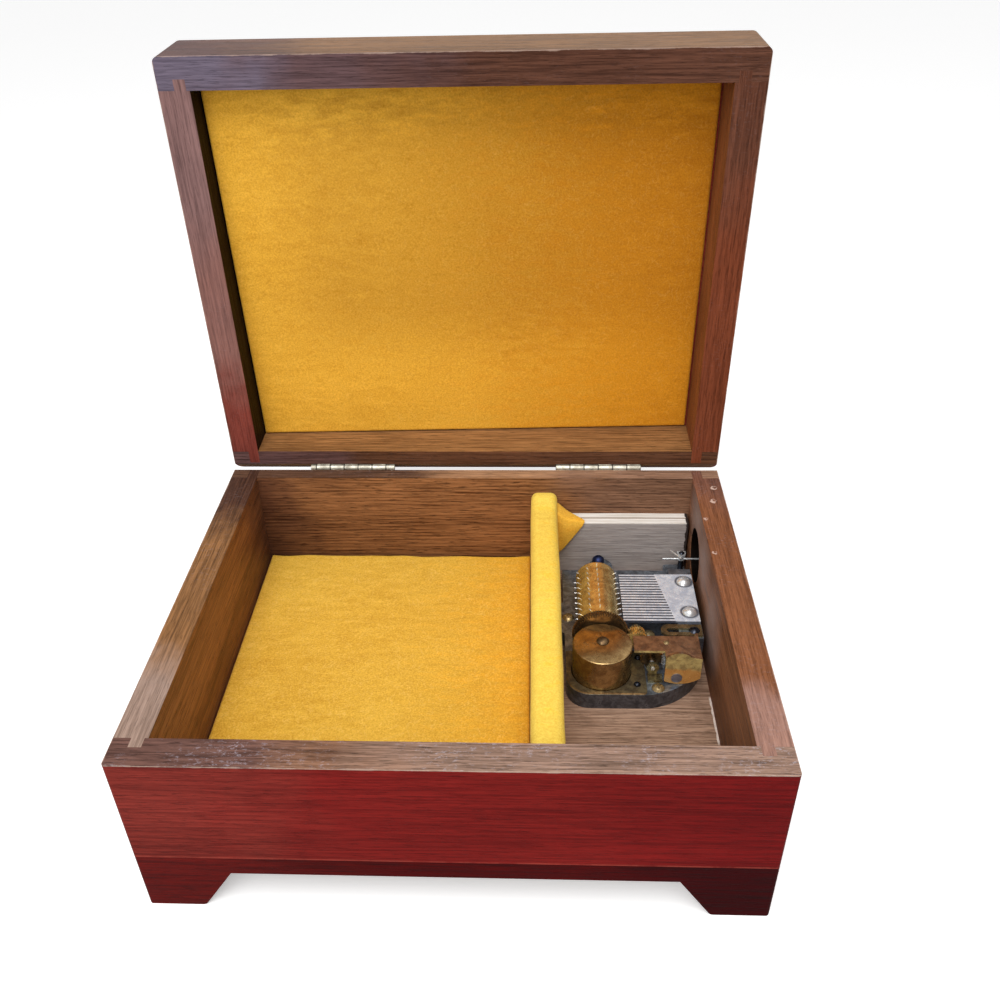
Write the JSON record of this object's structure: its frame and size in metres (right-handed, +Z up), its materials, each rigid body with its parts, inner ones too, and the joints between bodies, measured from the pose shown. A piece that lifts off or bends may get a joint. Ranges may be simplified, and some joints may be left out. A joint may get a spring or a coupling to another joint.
{
  "type": "musical jewelry box",
  "caption": "Wooden jewelry box with a hinged open lid, a velvet tray and a divider, beside which a spring-wound musical movement with a pinned cylinder and a comb is screwed down.",
  "frame": {"origin": "on the surface that the feet stand on, in the middle of the case together with its open lid", "axes": "+Z up, +Y from the front to the hinges, +X from the tray to the movement"},
  "size_m": [0.168, 0.157, 0.191],
  "materials": {
    "case_wood": "stained mahogany red, satin, worn edges",
    "lid_wood": "stained, satin",
    "raw_wood": "unfinished",
    "pale_wood": "unfinished",
    "velvet": "mustard gold velvet",
    "hinge_metal": "dull, tarnished",
    "zinc": "cast zinc, matt",
    "brass": "aged, satin",
    "steel": "bright",
    "dark_steel": "blackened"
  },
  "bodies": {
    "case": {"front_board": "case_wood", "back_board": "case_wood", "left_board": "case_wood", "right_board": "case_wood", "skirt_front": "case_wood", "skirt_back": "case_wood", "skirt_left": "case_wood", "skirt_right": "case_wood", "bottom_board": "raw_wood", "divider_core": "raw_wood", "rear_support_board": "pale_wood", "floor_pad": "velvet", "divider_velvet": "velvet", "hinge_case_leaves": "hinge_metal", "hinge_pins": "steel", "bedplate": "zinc", "mounting_screws": "brass", "barrel_base_plate": "brass", "base_plate_screws": "dark_steel", "train_plate": "brass", "cylinder_rear_bracket": "brass", "comb": "steel", "comb_screws": "dark_steel", "governor_frame": "brass", "frame_rivet": "steel", "fly_pivot_bush": "steel", "governor_cock": "brass", "cock_screw": "dark_steel", "worm_wheel_bracket": "brass", "idler_stud": "steel", "click_rivet": "steel", "stop_post": "dark_steel"},
    "lid": {"lid_front_board": "lid_wood", "lid_back_board": "lid_wood", "lid_left_board": "lid_wood", "lid_right_board": "lid_wood", "lid_top_panel": "lid_wood", "lid_velvet_panel": "velvet", "hinge_lid_leaves": "hinge_metal"},
    "barrel": {"spring_barrel": "brass", "barrel_cover": "brass", "mainspring": "steel"},
    "winding": {"winding_arbor": "steel", "ratchet_wheel": "steel", "winding_key": "steel"},
    "click": {"ratchet_click": "steel"},
    "cylinder": {"great_gear": "brass", "cylinder": "brass", "cylinder_pins": "steel", "cylinder_arbor": "steel"},
    "idler": {"idler_gear": "brass"},
    "governor": {"governor_arbor": "steel", "worm_wheel": "brass"},
    "fly": {"worm_shaft": "steel", "fly": "brass"},
    "stop_lever": {"stop_lever": "steel"}
  },
  "joints": [
    {"name": "lid_hinge", "type": "hinge", "parent": "case", "child": "lid", "pos_m": [0, 0.05587, 0.05615], "axis": [1, 0, 0], "range_deg": [0, 88.7]},
    {"name": "barrel_spin", "type": "hinge", "parent": "case", "child": "barrel", "pos_m": [0.0417, -0.01344, 0.0305], "axis": [0, 0, 1], "continuous": true},
    {"name": "winding_turn", "type": "hinge", "parent": "case", "child": "winding", "pos_m": [0.0417, -0.01344, 0.0105], "axis": [0, 0, 1], "continuous": true},
    {"name": "click_lift", "type": "hinge", "parent": "case", "child": "click", "pos_m": [0.0481, -0.01764, 0.0212], "axis": [0, 0, 1], "range_deg": [0, 8], "stiffness_Nm_per_rad": 0.002, "springref_deg": -5.73},
    {"name": "cylinder_spin", "type": "hinge", "parent": "case", "child": "cylinder", "pos_m": [0.0417, 0.01656, 0.033], "axis": [0, 1, 0], "continuous": true},
    {"name": "idler_spin", "type": "hinge", "parent": "case", "child": "idler", "pos_m": [0.05282, -0.00544, 0.03285], "axis": [0, 1, 0], "continuous": true},
    {"name": "governor_spin", "type": "hinge", "parent": "case", "child": "governor", "pos_m": [0.057, -0.00844, 0.0301], "axis": [0, 1, 0], "continuous": true},
    {"name": "fly_spin", "type": "hinge", "parent": "case", "child": "fly", "pos_m": [0.06105, -0.01144, 0.0325], "axis": [0, 0, 1], "continuous": true},
    {"name": "stop_swing", "type": "hinge", "parent": "case", "child": "stop_lever", "pos_m": [0.0718, 0.03696, 0.0322], "axis": [0, 0, 1], "range_deg": [-12, 0]}
  ],
  "couplings": [
    {"joint": "cylinder_spin", "follows": "barrel_spin", "ratio": 1.0938},
    {"joint": "idler_spin", "follows": "barrel_spin", "ratio": -3.5417},
    {"joint": "governor_spin", "follows": "barrel_spin", "ratio": 5.3125},
    {"joint": "fly_spin", "follows": "barrel_spin", "ratio": 106.25}
  ]
}
